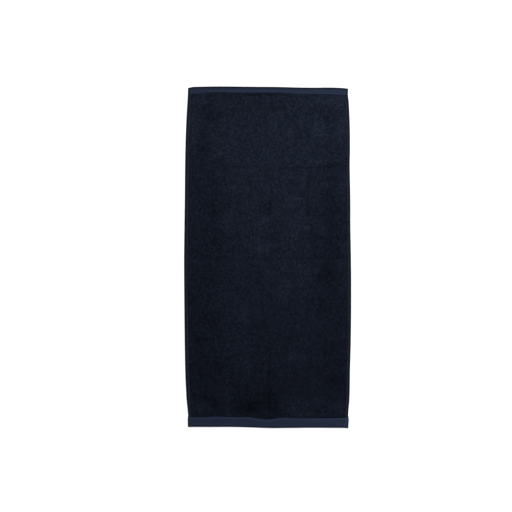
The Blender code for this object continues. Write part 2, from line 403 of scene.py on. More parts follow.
class Outline:
    """The towel's four edges, read from the flat underside of its solid."""

    def __init__(self, node):
        points = np.empty(len(node.data.vertices) * 3, np.float32)
        node.data.vertices.foreach_get("co", points)
        points = points.reshape(-1, 3)
        underside = points[points[:, 2] < ON_THE_SURFACE, :2]
        ring = np.unique(underside.round(6), axis=0).astype(float)
        self.width, self.length = np.ptp(ring, axis=0)
        scaled = ring / (self.width, self.length)
        order = np.argsort(np.arctan2(scaled[:, 1], scaled[:, 0]))
        self.ring, scaled = ring[order], scaled[order]
        lower_left, lower_right, upper_right, upper_left = (
            int(np.argmax(scaled @ np.array(signs))) for signs in ((-1, -1), (1, -1), (1, 1), (-1, 1))
        )
        self.edges = {
            "bottom": self.between(lower_left, lower_right, 0),
            "right": self.between(lower_right, upper_right, 1),
            "top": self.between(upper_right, upper_left, 0),
            "left": self.between(upper_left, lower_left, 1),
        }

    def between(self, first, last, axis):
        """The points from one corner to the next, in rising order along an axis."""
        count = (last - first) % len(self.ring) + 1
        run = self.ring[(first + np.arange(count)) % len(self.ring)]
        run = run[np.argsort(run[:, axis])]
        return run[:, axis], run[:, 1 - axis]

    def at(self, edge, place):
        """Where an edge lies at places along it."""
        return read_smoothly(*self.edges[edge], place)


outline = Outline(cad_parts[NODE])


def hem_depth(edge, place):
    """How deep the hem at an edge is, at places along that edge."""
    if edge in SIDE_HEMS:
        return np.full_like(place, SIDE_HEMS[edge])
    across, top, bottom = zip(*HEM_DEPTHS)
    return read_smoothly(across, top if edge == "top" else bottom, place)


def hem_line(edge, place):
    """The inner line of the hem at an edge, at places along that edge."""
    inwards = 1.0 if edge in ("bottom", "left") else -1.0
    return outline.at(edge, place) + inwards * hem_depth(edge, place)


def field_points(across, along, inset):
    """Points of the looped field: shares of the way between the side hems and between the end hems."""
    x, y = (across - 0.5) * outline.width, (along - 0.5) * outline.length
    for _ in range(MEETING_ROUNDS):
        low, high = hem_line("left", y) + inset, hem_line("right", y) - inset
        x = low + across * (high - low)
        low, high = hem_line("bottom", x) + inset, hem_line("top", x) - inset
        y = low + along * (high - low)
    return x, y


def near_folds(x, y):
    """Each fold, how far points of the cloth lie off its line, how strong it is there, and its sideways
    direction."""
    x = x + FOLD_WANDER * smooth_noise(x, y, FOLD_WANDER_LENGTH, WANDER_SEEDS[0])
    y = y + FOLD_WANDER * smooth_noise(x, y, FOLD_WANDER_LENGTH, WANDER_SEEDS[1])
    for row in FOLDS:
        fold = Fold(*row)
        run = np.subtract(fold.end, fold.start)
        length = math.hypot(*run)
        way_x, way_y = run / length
        from_x, from_y = x - fold.start[0], y - fold.start[1]
        gone = from_x * way_x + from_y * way_y
        strength = smoothstep(0.5 + gone / FOLD_FADE) * smoothstep(0.5 + (length - gone) / FOLD_FADE)
        yield fold, from_y * way_x - from_x * way_y, strength, (-way_y, way_x)


def fold_lines(x, y):
    """The painted shade of the loops along the bottoms of the folds, and how they part there."""
    crease_shade, part_x, part_y = np.zeros_like(x), np.zeros_like(x), np.zeros_like(x)
    for fold, off, strength, (side_x, side_y) in near_folds(x, y):
        near = fold.line * strength * bell(off, LINE_HALF_WIDTH)
        push = LINE_PARTING * near * np.tanh(2.0 * off / LINE_HALF_WIDTH)
        crease_shade += near
        part_x += push * side_x
        part_y += push * side_y
    return crease_shade, part_x, part_y


def relief(x, y):
    """How far the cloth's face lies under its level at points of the field."""
    depth = np.zeros_like(x)
    for fold, off, strength, _ in near_folds(x, y):
        depth += fold.depth * strength * bell(off, fold.half_width)
    for *spot, sunk in HOLLOWS:
        depth += sunk * within(spot, x, y)
    for wave in WAVES:
        turns = x / wave.length_across + y / wave.length_along
        depth -= wave.height * np.sin(2.0 * math.pi * turns + wave.phase)
    return depth


def slopes(x, y):
    """How steeply the cloth's face rises at points of the field, to the right and up the towel."""
    step = SLOPE_STEP
    rise_x = relief(x - step, y) - relief(x + step, y)
    rise_y = relief(x, y - step) - relief(x, y + step)
    return rise_x / (2.0 * step), rise_y / (2.0 * step)


def ground_height(x, y):
    """The height of the woven ground's upper face: it follows the folds and drops into the hems."""
    to_ends = np.minimum(y - hem_line("bottom", x), hem_line("top", x) - y)
    to_sides = np.minimum(x - hem_line("left", y), hem_line("right", y) - x)
    into_field = smoothstep((np.minimum(to_ends, to_sides) + HEM_TUCK) / (2.0 * HEM_TUCK))
    level = np.maximum(GROUND_TOP - GROUND_SHARE * relief(x, y), LEAST_GROUND)
    low = GROUND_AT_HEMS + GROUND_THICKNESS / 2.0
    return low + (level - low) * into_field


def ground_back(face):
    """The height of the ground's lower face under its upper one."""
    return np.maximum(face - GROUND_THICKNESS, ON_THE_SURFACE * 2.0)


def make_mesh(name, points, faces, material, maps, values=None):
    """A smooth mesh object from arrays, with its map of face corners and its values at points."""
    mesh = bpy.data.meshes.new(name)
    faces = np.asarray(faces, np.int32)
    sides = faces.shape[1]
    mesh.vertices.add(len(points))
    mesh.vertices.foreach_set("co", np.asarray(points, np.float32).ravel())
    mesh.loops.add(faces.size)
    mesh.loops.foreach_set("vertex_index", faces.ravel())
    mesh.polygons.add(len(faces))
    mesh.polygons.foreach_set("loop_start", np.arange(0, faces.size, sides, dtype=np.int32))
    mesh.update(calc_edges=True)
    layer = mesh.uv_layers.new(name="OFBake")
    layer.uv.foreach_set("vector", np.asarray(maps, np.float32).ravel())
    for attribute, numbers in (values or {}).items():
        column = mesh.attributes.new(attribute, "FLOAT", "POINT")
        column.data.foreach_set("value", np.asarray(numbers, np.float32).ravel())
    mesh.shade_smooth()
    mesh.materials.append(material)
    made = bpy.data.objects.new(name, mesh)
    bpy.context.scene.collection.objects.link(made)
    return made


def part_of_towel(piece):
    """Ties a piece to the towel's body and hides the solid that it stands for."""
    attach(piece, BODY)
    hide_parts(NODE)
    return piece


# ---- Materials ----

# The yarn's colours, from the painted shade between the loops to the lightest tips. Its shade has a share
# at a loop's feet and more towards its top, which paints shade down among the loops, and it varies with
# the fibres.
YARN_COLOURS = (
    (0.0, (0.0006, 0.0008, 0.0015)),
    (0.5, (0.0134, 0.0188, 0.0336)),
    (1.0, (0.0264, 0.0369, 0.0662)),
)
FEET_SHADE = 0.65
TOP_SHADE = 0.45
FIBRE_SHADE = 0.8
FIBRE_SPREAD = 0.4
THREAD_COLOURS = ((0.3, (0.0085, 0.012, 0.025)), (0.7, (0.014, 0.0196, 0.041)))

# The flat weaves: their darkest and lightest colours, the spacing of their threads and their gloss. The
# shade between the two comes from the threads, from broad blotches and from slubs in the yarn.
Weave = namedtuple("Weave", "name dark light pitch sheen specular")
END_WEAVE = Weave("flat_weave", (0.0091, 0.0129, 0.0265), (0.0135, 0.0194, 0.0402), 0.0008, 0.012, 0.04)
SIDE_WEAVE = Weave("turned_edge", (0.0064, 0.0087, 0.0158), (0.0101, 0.0139, 0.0254), 0.0008, 0.012, 0.04)
# The ground is painted much darker than the yarn: painted shade where it shows between the loops.
GROUND_WEAVE = Weave("woven_ground", (0.0019, 0.0027, 0.0051), (0.0045, 0.0063, 0.012), 0.0012, 0.0, 0.03)
WEAVE_SHADE = 0.065
WEAVE_THREADS = 0.4
WEAVE_BLOTCHES = 0.22
WEAVE_SLUBS = 0.3
WEAVE_DRIFT = 0.7
WEAVE_TINT = (0.6, 0.68, 0.95)


def add(tree, kind, inputs=None, **settings):
    """A new node in a tree, with its settings, and its inputs set to a value or linked to a socket."""
    made = tree.nodes.new("ShaderNode" + kind)
    for name, value in settings.items():
        setattr(made, name, value)
    for name, value in (inputs or {}).items():
        if isinstance(value, bpy.types.NodeSocket):
            tree.links.new(value, made.inputs[name])
        else:
            made.inputs[name].default_value = value
    return made


def maths(tree, operation, *values):
    """The result of a sum on sockets or numbers."""
    return add(tree, "Math", dict(enumerate(values)), operation=operation).outputs[0]


def ramp(tree, factor, *stops):
    """The colour that a factor picks from stops of (place, colour)."""
    made = add(tree, "ValToRGB", {0: factor})
    band = made.color_ramp
    while len(band.elements) < len(stops):
        band.elements.new(0.5)
    for element, (place, colour) in zip(band.elements, stops):
        element.position = place
        element.color = (*colour, 1.0)
    return made.outputs[0]


def noise(tree, size, detail=2.0, roughness=0.5):
    """Noise from 0 to 1 in patches of about the given size in metres."""
    places = add(tree, "TexCoord").outputs["Object"]
    inputs = {"Vector": places, "Scale": 1.0 / size, "Detail": detail, "Roughness": roughness}
    return add(tree, "TexNoise", inputs).outputs[0]


def cloth_material(name, roughness, sheen, tint, specular):
    """A cotton surface without a colour yet, its node tree and its shader."""
    material = bpy.data.materials.new(name)
    material.use_nodes = True
    tree = material.node_tree
    shader = tree.nodes["Principled BSDF"]
    shader.inputs["Roughness"].default_value = roughness
    shader.inputs["Specular IOR Level"].default_value = specular
    shader.inputs["Sheen Weight"].default_value = sheen
    shader.inputs["Sheen Roughness"].default_value = 0.45
    shader.inputs["Sheen Tint"].default_value = (*tint, 1.0)
    return material, tree, shader


def pile_material():
    """Loops of soft yarn: each a little lighter or darker, with painted shade towards their feet."""
    material, tree, shader = cloth_material(
        "terry_loops", roughness=0.92, sheen=0.012, tint=(0.55, 0.65, 1.0), specular=0.02
    )
    tone = add(tree, "Attribute", attribute_name="tone").outputs["Fac"]
    rise = add(tree, "Attribute", attribute_name="rise").outputs["Fac"]
    fibres = noise(tree, size=0.0007, detail=3.0, roughness=0.6)
    shade = maths(tree, "MULTIPLY", tone, maths(tree, "MULTIPLY_ADD", rise, TOP_SHADE, FEET_SHADE))
    uneven = maths(tree, "MULTIPLY_ADD", fibres, FIBRE_SPREAD, FIBRE_SHADE)
    colour = ramp(tree, maths(tree, "MULTIPLY", shade, uneven), *YARN_COLOURS)
    tree.links.new(colour, shader.inputs["Base Color"])
    bump = add(tree, "Bump", {"Height": fibres, "Strength": 0.35, "Distance": 0.0003})
    tree.links.new(bump.outputs[0], shader.inputs["Normal"])
    return material


def weave_height(tree, pitch):
    """Plain weave: threads that pass over and under each other, as a height from 0 to 1."""
    places = add(tree, "TexCoord").outputs["Object"]
    fine = add(tree, "TexNoise", {"Vector": places, "Scale": 160.0, "Detail": 1.0})
    drift = add(tree, "VectorMath", {0: fine.outputs[1], 1: (0.5, 0.5, 0.5)}, operation="SUBTRACT")
    share = pitch * WEAVE_DRIFT
    small = add(tree, "VectorMath", {0: drift.outputs[0], "Scale": share}, operation="SCALE")
    moved = add(tree, "VectorMath", {0: places, 1: small.outputs[0]}, operation="ADD").outputs[0]
    parts = add(tree, "SeparateXYZ", {0: moved})
    rate = math.pi / pitch
    across = maths(tree, "SINE", maths(tree, "MULTIPLY", parts.outputs[0], rate))
    along = maths(tree, "SINE", maths(tree, "MULTIPLY", parts.outputs[1], rate))
    return maths(tree, "ABSOLUTE", maths(tree, "MULTIPLY", across, along))


def weave_material(weave):
    """Flat-woven cotton: fine threads, with their colour a little uneven, times a tone that holds a hem's
    painted light and shade.
    """
    material, tree, shader = cloth_material(
        weave.name, roughness=0.8, sheen=weave.sheen, tint=WEAVE_TINT, specular=weave.specular
    )
    threads = weave_height(tree, weave.pitch)
    shade = maths(tree, "MULTIPLY_ADD", noise(tree, size=0.022), WEAVE_BLOTCHES, WEAVE_SHADE)
    shade = maths(tree, "MULTIPLY_ADD", threads, WEAVE_THREADS, shade)
    shade = maths(tree, "MULTIPLY_ADD", noise(tree, size=0.003), WEAVE_SLUBS, shade)
    colour = ramp(tree, shade, (0.15, weave.dark), (0.85, weave.light))
    tone = add(tree, "Attribute", attribute_name="tone").outputs["Fac"]
    colour = add(tree, "VectorMath", {0: colour, "Scale": tone}, operation="SCALE").outputs[0]
    tree.links.new(colour, shader.inputs["Base Color"])
    bump = add(tree, "Bump", {"Height": threads, "Strength": 0.45, "Distance": 0.00025})
    tree.links.new(bump.outputs[0], shader.inputs["Normal"])
    return material


def thread_material():
    """Sewing thread with its twist, a little shinier than the cloth."""
    material, tree, shader = cloth_material(
        "sewing_thread", roughness=0.6, sheen=0.0, tint=(1.0, 1.0, 1.0), specular=0.15
    )
    colour = ramp(tree, noise(tree, size=0.0006), *THREAD_COLOURS)
    tree.links.new(colour, shader.inputs["Base Color"])
    return material


def floor_material():
    """A plain white floor that glows, as a light table does, so that shadows on it stay faint."""
    material = bpy.data.materials.new("pale_floor")
    material.use_nodes = True
    shader = material.node_tree.nodes["Principled BSDF"]
    shader.inputs["Base Color"].default_value = FLOOR_COLOUR
    shader.inputs["Roughness"].default_value = 0.9
    shader.inputs["Specular IOR Level"].default_value = 0.1
    shader.inputs["Emission Color"].default_value = (1.0, 1.0, 1.0, 1.0)
    shader.inputs["Emission Strength"].default_value = FLOOR_GLOW
    return material


# ---- The woven ground ----

GROUND_COLUMNS = 60
GROUND_ROWS = 120

# Its two faces lie side by side in its map.
GROUND_MAP = (0.46, 0.96)
GROUND_MAP_START = 0.02
UNDERSIDE_MAP = (0.5, 0.0)


def ground_cloth(material):
    """The thin woven ground that carries the loops: one closed sheet on the towel's folds."""
    u, v = np.meshgrid(
        np.linspace(0.0, 1.0, GROUND_COLUMNS + 1), np.linspace(0.0, 1.0, GROUND_ROWS + 1)
    )
    x, y = field_points(u, v, -HEM_TUCK)
    upper = ground_height(x, y)
    levels = (upper, ground_back(upper))
    points = np.concatenate([np.stack([x, y, z], axis=-1).reshape(-1, 3) for z in levels])
    count = x.size
    index = np.arange(count).reshape(x.shape)
    quads = np.stack([index[:-1, :-1], index[:-1, 1:], index[1:, 1:], index[1:, :-1]], axis=-1)
    quads = quads.reshape(-1, 4)
    rim = np.concatenate([index[0, :-1], index[:-1, -1], index[-1, :0:-1], index[:0:-1, 0]])
    after = np.roll(rim, -1)
    wall = np.stack([rim, rim + count, after + count, after], axis=1)
    faces = np.concatenate([quads, quads[:, ::-1] + count, wall])
    flat = np.stack([u.ravel(), v.ravel()], axis=1) * GROUND_MAP + GROUND_MAP_START
    corner_maps = np.concatenate([flat, flat + UNDERSIDE_MAP])[faces].reshape(-1, 2)
    values = {"tone": np.ones(len(points))}
    return make_mesh("ground_cloth", points, faces, material, corner_maps, values)


# ---- Loops ----

# A loop is a small closed body: two feet, the two ends of its crown and a bulge at each side. Its faces
# lie spread out in a cell of the map, with the last two, which hide underneath, below the others.
LOOP_POINTS = 6
LOOP_RISE = (0.0, 0.0, 1.0, 1.0, SIDE_BULGE_HEIGHT, SIDE_BULGE_HEIGHT)
LOOP_FACES = ((0, 2, 4), (2, 3, 4), (3, 1, 4), (0, 5, 2), (2, 5, 3), (3, 5, 1), (0, 4, 5), (1, 5, 4))
LOOP_MAP = ((0.06, 0.6), (0.94, 0.6), (0.36, 0.6), (0.64, 0.6), (0.5, 0.94), (0.5, 0.26))
LOOP_UNDER_MAP = ((0.06, 0.12), (0.94, 0.12), (0.0, 0.0), (0.0, 0.0), (0.5, 0.2), (0.5, 0.04))
UNDER_FACES = 2


def cell_maps(count, template):
    """Gives each of many bodies a cell in one square map, with its corners as in the template."""
    cells = math.ceil(math.sqrt(count))
    number = np.arange(count)
    corner = np.stack([number % cells, number // cells], axis=1).astype(float)
    return ((corner[:, None] + template) / cells).reshape(-1, 2)


def loop_corner_template(faces):
    """Where each face corner of a loop lies in its cell."""
    outer, under = np.array(LOOP_MAP), np.array(LOOP_UNDER_MAP)
    rows = [outer[list(face)] for face in faces[:-UNDER_FACES]]
    rows += [under[list(face)] for face in faces[-UNDER_FACES:]]
    return np.concatenate(rows)


def loop_grid(pile):
    """The places of a pile's loops as columns by rows of shares, a little out of line."""
    rng = np.random.default_rng(pile.seed)
    columns = round((outline.width - sum(SIDE_HEMS.values())) / pile.pitch)
    rows = round((outline.length - hem_depth("top", 0.0) - hem_depth("bottom", 0.0)) / pile.pitch)
    i, j = np.meshgrid(np.arange(columns), np.arange(rows), indexing="ij")
    shift = rng.uniform(-pile.jitter, pile.jitter, (2, columns, rows))
    u = np.clip((i + 0.5 + shift[0]) / columns, 0.0, 1.0)
    v = np.clip((j + 0.5 + shift[1]) / rows, 0.0, 1.0)
    return rng, u, v


def loop_lean(x, y, v, parting, rng):
    """Which way the loops lean and how far, as shares of their height."""
    nap = NAP_BOTTOM + (NAP_TOP - NAP_BOTTOM) * v
    nap = nap + NAP_BLOTCH_LEAN * smooth_noise(x, y, NAP_BLOTCH, NAP_SEED)
    lean_x = CLUMP_LEAN * smooth_noise(x, y, CLUMP_SIZE, LEAN_SEEDS[0]) + parting[0]
    lean_y = CLUMP_LEAN * smooth_noise(x, y, CLUMP_SIZE, LEAN_SEEDS[1]) + parting[1] + nap
    lean_x += rng.normal(0.0, LEAN_JITTER, x.shape)
    lean_y += rng.normal(0.0, LEAN_JITTER, x.shape)
    left, right = (bell(hem_line(side, y) - x, EDGE_REACH) for side in ("left", "right"))
    lean_x += EDGE_LEAN * (right - left)
    lean_y -= EDGE_LEAN * bell(hem_line("bottom", x) - y, EDGE_REACH)
    size = np.maximum(np.hypot(lean_x, lean_y) / MOST_LEAN, 1.0)
    return lean_x / size, lean_y / size


def loop_points(pile, place, turn, base, height, lean, slope, side):
    """The six points of each loop. side is 1 for loops that stand up and -1 for ones that hang down."""
    x, y = place
    along = np.stack([np.cos(turn), np.sin(turn)], axis=-1)
    across = np.stack([-np.sin(turn), np.cos(turn)], axis=-1)
    foot = np.stack([x, y], axis=-1)
    tip = foot + np.stack(lean, axis=-1) * height[..., None]
    belly = foot + np.stack(lean, axis=-1) * height[..., None] * SIDE_BULGE_HEIGHT
    flat = (
        foot - along * pile.span / 2.0,
        foot + along * pile.span / 2.0,
        tip - along * pile.crown / 2.0,
        tip + along * pile.crown / 2.0,
        belly + across * pile.width / 2.0,
        belly - across * pile.width / 2.0,
    )
    points = []
    for spot, rise in zip(flat, LOOP_RISE):
        z = base + side * height * rise
        z = z + slope[0] * (spot[..., 0] - x) + slope[1] * (spot[..., 1] - y)
        points.append(np.concatenate([spot, np.maximum(z, ON_THE_SURFACE)[..., None]], axis=-1))
    return np.stack(points, axis=-2)


def loop_tone(x, y, v, crease_shade, rng):
    """How light each loop is, from 0 to 1, with 0.5 as the cloth's own colour. Besides uneven dyeing it
    holds painted shade along the folds, patches of painted light and shade, and painted light towards the
    narrow hem and the right.
    """
    tone = 1.0 + rng.normal(0.0, TONE_JITTER, x.shape) - crease_shade
    for number, (size, amount) in enumerate(TONE_NOISE):
        tone += amount * smooth_noise(x, y, size, TONE_SEED + number)
    # Patches of painted light and shade.
    for *spot, painted_lighter in PAINTED_PATCHES:
        tone += painted_lighter * within(spot, x, y)
    # Painted light: lighter towards the narrow hem, and a little towards the right.
    tone *= 1.0 + PAINTED_LIGHT_ALONG * (2.0 * v - 1.0)
    return 0.5 * tone * (1.0 + PAINTED_LIGHT_ACROSS * x / (outline.width / 2.0))


def loop_heights(pile, x, y, side, rng):
    """The heights of the loops' feet, and how far the loops stand up or hang down from there."""
    grow = 1.0 + rng.normal(0.0, HEIGHT_JITTER, x.shape)
    for number, (size, amount) in enumerate(HEIGHT_NOISE):
        grow += amount * smooth_noise(x, y, size, pile.seed + HEIGHT_SEED + number)
    face = ground_height(x, y)
    if side > 0:
        height = pile.height * grow - (1.0 - GROUND_SHARE) * relief(x, y)
        return face - ROOT_DEPTH, np.maximum(height, SHORTEST_LOOP * pile.height)
    base = ground_back(face) + ROOT_DEPTH
    height = np.minimum(pile.height * grow, base - ON_THE_SURFACE)
    return base, np.maximum(height, SHORTEST_LOOP * PRESSED_HEIGHT)


def pile_pieces(pile, material, side):
    """The loops of one face of the cloth, in strips along the towel, each strip a piece."""
    rng, u, v = loop_grid(pile)
    x, y = field_points(u, v, LOOP_INSET)
    slope = slopes(x, y) if side > 0 else (0.0, 0.0)
    # The painted shade along the bottoms of the folds comes with their parting.
    crease_shade, *parting = fold_lines(x, y)
    lean = loop_lean(x, y, v, parting, rng)
    lean = (lean[0] - slope[0], lean[1] - slope[1])
    base, height = loop_heights(pile, x, y, side, rng)
    turn = TURN + rng.normal(0.0, TURN_SPREAD, x.shape)
    turn += CLUMP_TURN * smooth_noise(x, y, CLUMP_SIZE, TURN_SEED)
    tone = loop_tone(x, y, v, crease_shade, rng)
    points = loop_points(pile, (x, y), turn, base, height, lean, slope, side)
    faces = LOOP_FACES if side > 0 else tuple(f[::-1] for f in LOOP_FACES)
    template = loop_corner_template(faces)
    made = []
    for number, columns in enumerate(np.array_split(np.arange(x.shape[0]), pile.strips)):
        bodies = points[columns].reshape(-1, LOOP_POINTS, 3)
        count = len(bodies)
        first = np.arange(count)[:, None, None] * LOOP_POINTS
        values = {
            "rise": np.tile(LOOP_RISE, count),
            "tone": np.repeat(np.clip(tone[columns], 0.0, 1.0).ravel(), LOOP_POINTS),
        }
        name = f"{pile.name}_{number + 1}" if pile.strips > 1 else pile.name
        every = (first + np.array(faces)).reshape(-1, 3)
        maps = cell_maps(count, template)
        made.append(make_mesh(name, bodies.reshape(-1, 3), every, material, maps, values))
    return made


# ---- Hems ----

# The lines of a hem's mesh: how many lie at its round edge and around its stitches, and how far those
# reach, how far apart the others are, and where the last ones lie in the round at its inner line.
EDGE_LINES = 5
SEAM_LINES = 13
SEAM_REACH = 2.1
MOST_SEAM_REACH = 0.62
PLAIN_SPACING = 0.002
LAST_LINES = (0.6, 0.3, 0.1)

# Its stations along the towel's edge. An end hem has close ones at its ends in place of some even ones.
STATION = 0.0026
END_STATIONS = (0.0, 0.0002, 0.0006, 0.0012, 0.0019, 0.003, 0.0042, 0.0054, 0.0066, 0.0078, 0.009)
STATIONS_LESS = 6

# Its map: rows one above the other with a margin each, and a cell at the right for its two ends. The way
# around a band is a little longer than to its last line, because it closes there.
MAP_START = 0.01
MAP_SPAN = 0.97
MAP_MARGIN = 0.03
MAP_CLOSING = 1.05
MAP_STRETCH = 1.1
CAP_MAP = ((0.988, 0.01), (0.996, 0.01), (0.996, 0.02), (0.988, 0.02))


def offsets_into(hem, depth):
    """Distances from a hem's outer edge to its inner line: close together at its edge and its seam."""
    half = hem.thickness / 2.0
    edge = half * (1.0 - np.cos(np.linspace(0.0, math.pi / 2.0, EDGE_LINES)))
    reach = min(SEAM_REACH * hem.stitch_in, depth * MOST_SEAM_REACH)
    seam = depth - np.linspace(reach, 0.0, SEAM_LINES)
    steps = max(2, round((seam[0] - edge[-1]) / PLAIN_SPACING))
    middle = np.linspace(edge[-1], seam[0], steps + 1)[1:-1]
    last = depth - INNER_ROUND * np.array(LAST_LINES)
    return np.unique(np.concatenate([edge, middle, seam, last]).round(7))


def hem_faces(hem, stretch, from_edge, from_line, from_ends):
    """The heights of a hem's front and back faces, at distances from its edge, its inner line and its
    two ends, and at distances along it."""
    half = hem.thickness / 2.0
    roll = quarter_round(np.clip(from_edge / half, EDGE_SLIVER, 1.0))
    ends = quarter_round(np.clip(from_ends / half, END_SLIVER, 1.0))
    inner = quarter_round(np.clip(from_line / INNER_ROUND, 0.0, 1.0))
    inner = INNER_EDGE_SHARE + (1.0 - INNER_EDGE_SHARE) * inner
    furrow = hem.furrow * bell(from_line - hem.stitch_in, hem.furrow_width)
    ridge = hem.ridge * bell(from_line - hem.ridge_in, hem.ridge_width)
    number = HEMS.index(hem)
    creases = smooth_noise(stretch, from_edge * PUCKER_STRETCH, PUCKER_LENGTH, PUCKER_SEED + number)
    pucker = PUCKER * bell(from_line - hem.stitch_in, PUCKER_REACH) * creases
    swells = smooth_noise(stretch, from_edge * HEM_SWELL_STRETCH, HEM_SWELL_LENGTH, SWELL_SEED + number)
    step = END_STEP * (1.0 - smoothstep(0.5 + (from_ends - END_STEP_IN) / END_STEP_WIDTH))
    middle = half + ON_THE_SURFACE
    front = half + ridge - furrow + pucker + HEM_SWELL * swells + step
    back = half - furrow * FURROW_AT_BACK
    shape = roll * ends * inner
    return middle + front * shape, middle - back * shape


def hem_tone(hem, x, from_edge, from_line, from_ends):
    """How light a hem is: painted shade where it turns, painted highlights on its ridge and where it
    wraps a side hem, and painted light a little stronger to the right."""
    # Painted shade where the cloth turns at the outer edge and at the ends.
    rim = hem.rim_darker * (1.0 - smoothstep(np.minimum(from_edge, from_ends) / hem.rim_reach))
    # Painted highlight on the ridge of the turned-in edge.
    ridge = hem.ridge_lighter * bell(from_line - hem.ridge_in, hem.ridge_width)
    # Painted highlight where an end hem wraps a side hem, fainter on the left.
    end_highlight = hem.end_ridge * bell(from_ends - END_HIGHLIGHT_IN, END_HIGHLIGHT_WIDTH)
    end_highlight = end_highlight * np.where(x > 0.0, 1.0, LEFT_END_SHARE)
    # Painted light, a little stronger towards the right.
    return (1.0 - rim + ridge + end_highlight) * (1.0 + HEM_PAINTED_LIGHT_ACROSS * x / (outline.width / 2.0))


def end_hem_points(end, share, into):
    """Points of an end hem, at shares across the towel and distances in from its end."""
    x = (share - 0.5) * outline.width
    inwards = -1.0 if end == "top" else 1.0
    corner = np.clip(CORNER_ROUND - into, 0.0, CORNER_ROUND)
    drawn_in = CORNER_ROUND - np.sqrt(CORNER_ROUND**2 - corner**2)
    for _ in range(MEETING_ROUNDS):
        y = outline.at(end, x) + inwards * into
        low, high = outline.at("left", y) + drawn_in, outline.at("right", y) - drawn_in
        x = low + share * (high - low)
    return x, y, np.minimum(x - low, high - x)


def side_hem_points(side, share, into):
    """Points of a side hem, at shares of the way between the end hems and distances in from its side."""
    y = (share - 0.5) * outline.length
    inwards = 1.0 if side == "left" else -1.0
    for _ in range(MEETING_ROUNDS):
        x = outline.at(side, y) + inwards * into
        low, high = hem_line("bottom", x) - HEM_TUCK, hem_line("top", x) + HEM_TUCK
        y = low + share * (high - low)
    return x, y


def hem_surface(hem, share, part):
    """Points of a hem's front and back faces, at shares along it and in from its edge, with part at 1
    on its inner line. Gives x, y, the heights of front and back, and how light it is."""
    if hem.edge in SIDE_HEMS:
        depth = hem_depth(hem.edge, share)
        x, y = side_hem_points(hem.edge, share, part * depth)
        from_ends = np.full_like(share, FAR_FROM_ENDS)
        stretch = y
    else:
        x = (share - 0.5) * outline.width
        for _ in range(MEETING_ROUNDS):
            depth = hem_depth(hem.edge, x)
            x, y, from_ends = end_hem_points(hem.edge, share, part * depth)
        stretch = x
    from_edge, from_line = part * depth, (1.0 - part) * depth
    front, back = hem_faces(hem, stretch, from_edge, from_line, from_ends)
    return x, y, front, back, hem_tone(hem, x, from_edge, from_line, from_ends)


def hem_length(hem):
    """About how long a hem is."""
    return outline.length if hem.edge in SIDE_HEMS else outline.width


def hem_stations(hem):
    """Shares along a hem, evenly spaced, and close together towards the ends of an end hem."""
    length = hem_length(hem)
    steps = round(length / STATION)
    if hem.edge in SIDE_HEMS:
        return np.linspace(0.0, 1.0, steps + 1)
    close = np.array(END_STATIONS) / length
    even = np.linspace(close[-1], 1.0 - close[-1], steps - STATIONS_LESS)[1:-1]
    return np.concatenate([close, even, 1.0 - close[::-1]])


def hem_band(hem, material):
    """A folded hem as one closed band: its front face, the turn at its edge and its back face."""
    depth = float(hem_depth(hem.edge, np.zeros(1))[0])
    parts = offsets_into(hem, depth) / depth
    stations = hem_stations(hem)
    share, part = np.meshgrid(stations, parts, indexing="ij")
    x, y, front, back, tone = hem_surface(hem, share, part)
    front_side = np.stack([x, y, front], axis=-1)[:, ::-1]
    back_side = np.stack([x, y, back], axis=-1)
    section = np.concatenate([front_side, back_side], axis=1)
    values = {"tone": np.concatenate([tone[:, ::-1], tone], axis=1)}
    count, around = section.shape[:2]
    index = np.arange(count * around).reshape(count, around)
    after = np.roll(index, -1, axis=1)
    quads = np.stack([index[:-1], index[1:], after[1:], after[:-1]], axis=-1).reshape(-1, 4)
    place = np.concatenate([1.0 - parts[::-1], 1.0 + parts]) * depth
    maps = band_maps(hem, stations, place, around, quads)
    fronts, backs = index[:, around // 2 - 1 :: -1], index[:, around // 2 :]
    caps = np.stack([fronts[:, :-1], fronts[:, 1:], backs[:, 1:], backs[:, :-1]], axis=-1)
    caps = np.concatenate([caps[0][:, ::-1], caps[-1]])
    faces = np.concatenate([quads, caps])
    if hem.edge in ("bottom", "right"):
        faces = faces[:, ::-1]
        maps = maps.reshape(-1, 4, 2)[:, ::-1]
    maps = np.concatenate([maps.reshape(-1, 2), np.tile(np.array(CAP_MAP), (len(caps), 1))])
    return make_mesh("hem_" + hem.edge, section.reshape(-1, 3), faces, material, maps, values)


def band_maps(hem, stations, place, around, quads):
    """Lays a band's length in several rows of its square map, so that its weave stays sharp there."""
    whole = place[-1] * MAP_CLOSING
    rows = max(1, round(math.sqrt(hem_length(hem) / (place[-1] * MAP_STRETCH))))
    station, spot = quads // around, quads % around
    row = np.minimum((stations[station.min(axis=1)] * rows).astype(int), rows - 1)[:, None]
    wraps = (spot.max(axis=1) - spot.min(axis=1) > 1)[:, None]
    distance = np.where(wraps & (spot == 0), whole, place[spot])
    u = MAP_START + MAP_SPAN * np.clip(stations[station] * rows - row, 0.0, 1.0)
    v = (row + MAP_MARGIN + (1.0 - 2.0 * MAP_MARGIN) * distance / whole) / rows
    return np.stack([u, v], axis=-1).reshape(-1, 2)


# ---- Sewing ----

